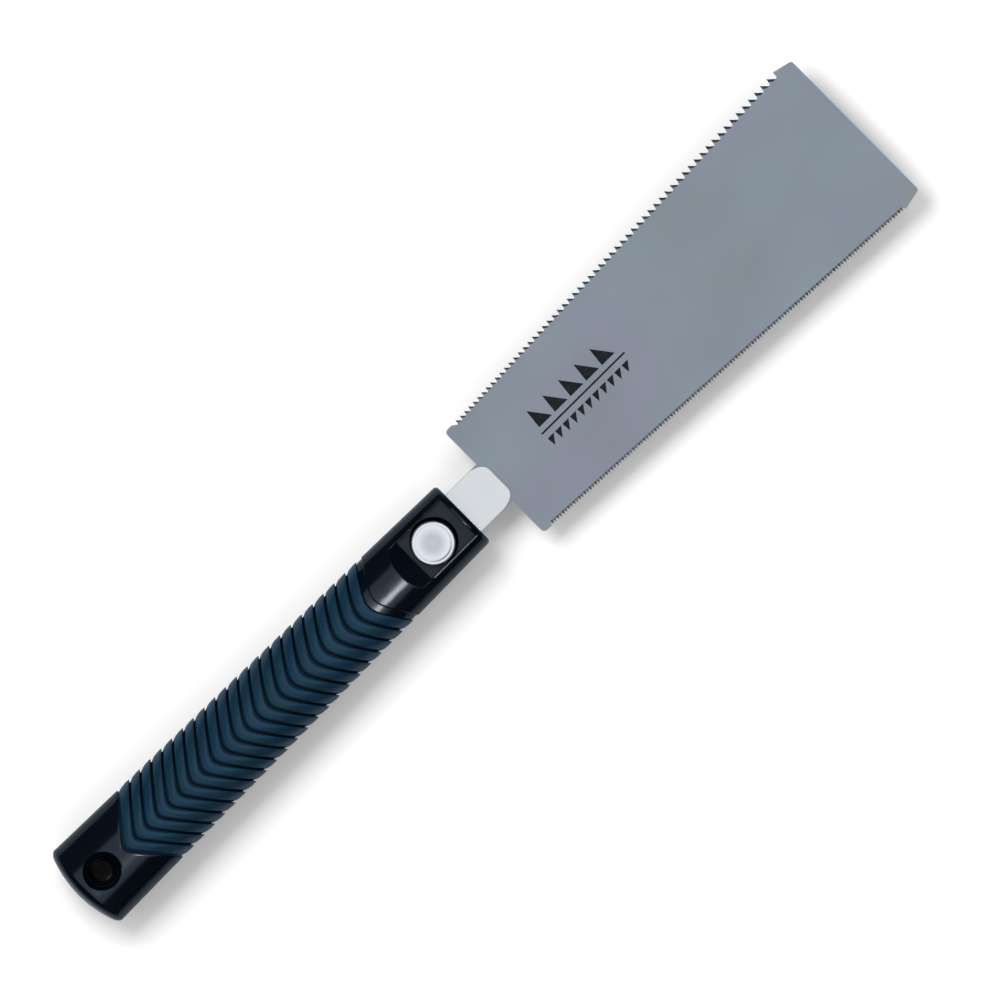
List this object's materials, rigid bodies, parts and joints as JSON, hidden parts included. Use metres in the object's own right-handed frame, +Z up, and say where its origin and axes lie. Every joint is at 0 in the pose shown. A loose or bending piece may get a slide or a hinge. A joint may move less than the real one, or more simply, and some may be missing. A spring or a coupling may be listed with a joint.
{
  "type": "double-edged pull saw",
  "caption": "Small double-edged pull saw with rip teeth on one edge and crosscut teeth on the other, in a ribbed rubber grip with a push-button blade lock.",
  "frame": {"origin": "on the surface the saw lies on, in the middle of its overall length and width", "axes": "+X along the saw from the butt of the handle to the toe of the blade, +Y towards the coarse rip teeth, +Z up through the button"},
  "size_m": [0.3471, 0.0605, 0.021],
  "materials": {
    "blade_steel": "satin bluish-grey rolled saw steel, faintly mottled, brighter on the ground tooth faces",
    "bright_steel": "bright plated steel",
    "plated_steel": "turned and nickel plated, polished ring and fine turning marks",
    "spring_steel": "zinc plated steel",
    "black_plastic": "glossy black moulded plastic",
    "blue_rubber": "soft satin dark petrol-blue thermoplastic rubber"
  },
  "bodies": {
    "handle": {"handle_shell_upper": "black_plastic", "handle_shell_lower": "black_plastic", "grip_sleeve": "blue_rubber", "blade": "blade_steel", "tang_plate_upper": "bright_steel", "tang_plate_lower": "bright_steel", "tang_socket": "bright_steel", "spring_plug": "black_plastic", "release_spring": "spring_steel", "shell_screw_1": "spring_steel", "shell_screw_2": "spring_steel", "shell_screw_3": "spring_steel", "shell_screw_4": "spring_steel"},
    "button": {"button_cap": "plated_steel", "lock_pin": "bright_steel"}
  },
  "joints": [
    {"name": "button_press", "type": "slide", "parent": "handle", "child": "button", "axis": [0, 0, -1], "range_m": [0, 0.0026], "stiffness_N_per_m": 1500, "springref_m": -0.001, "deforming": ["release_spring"]}
  ]
}
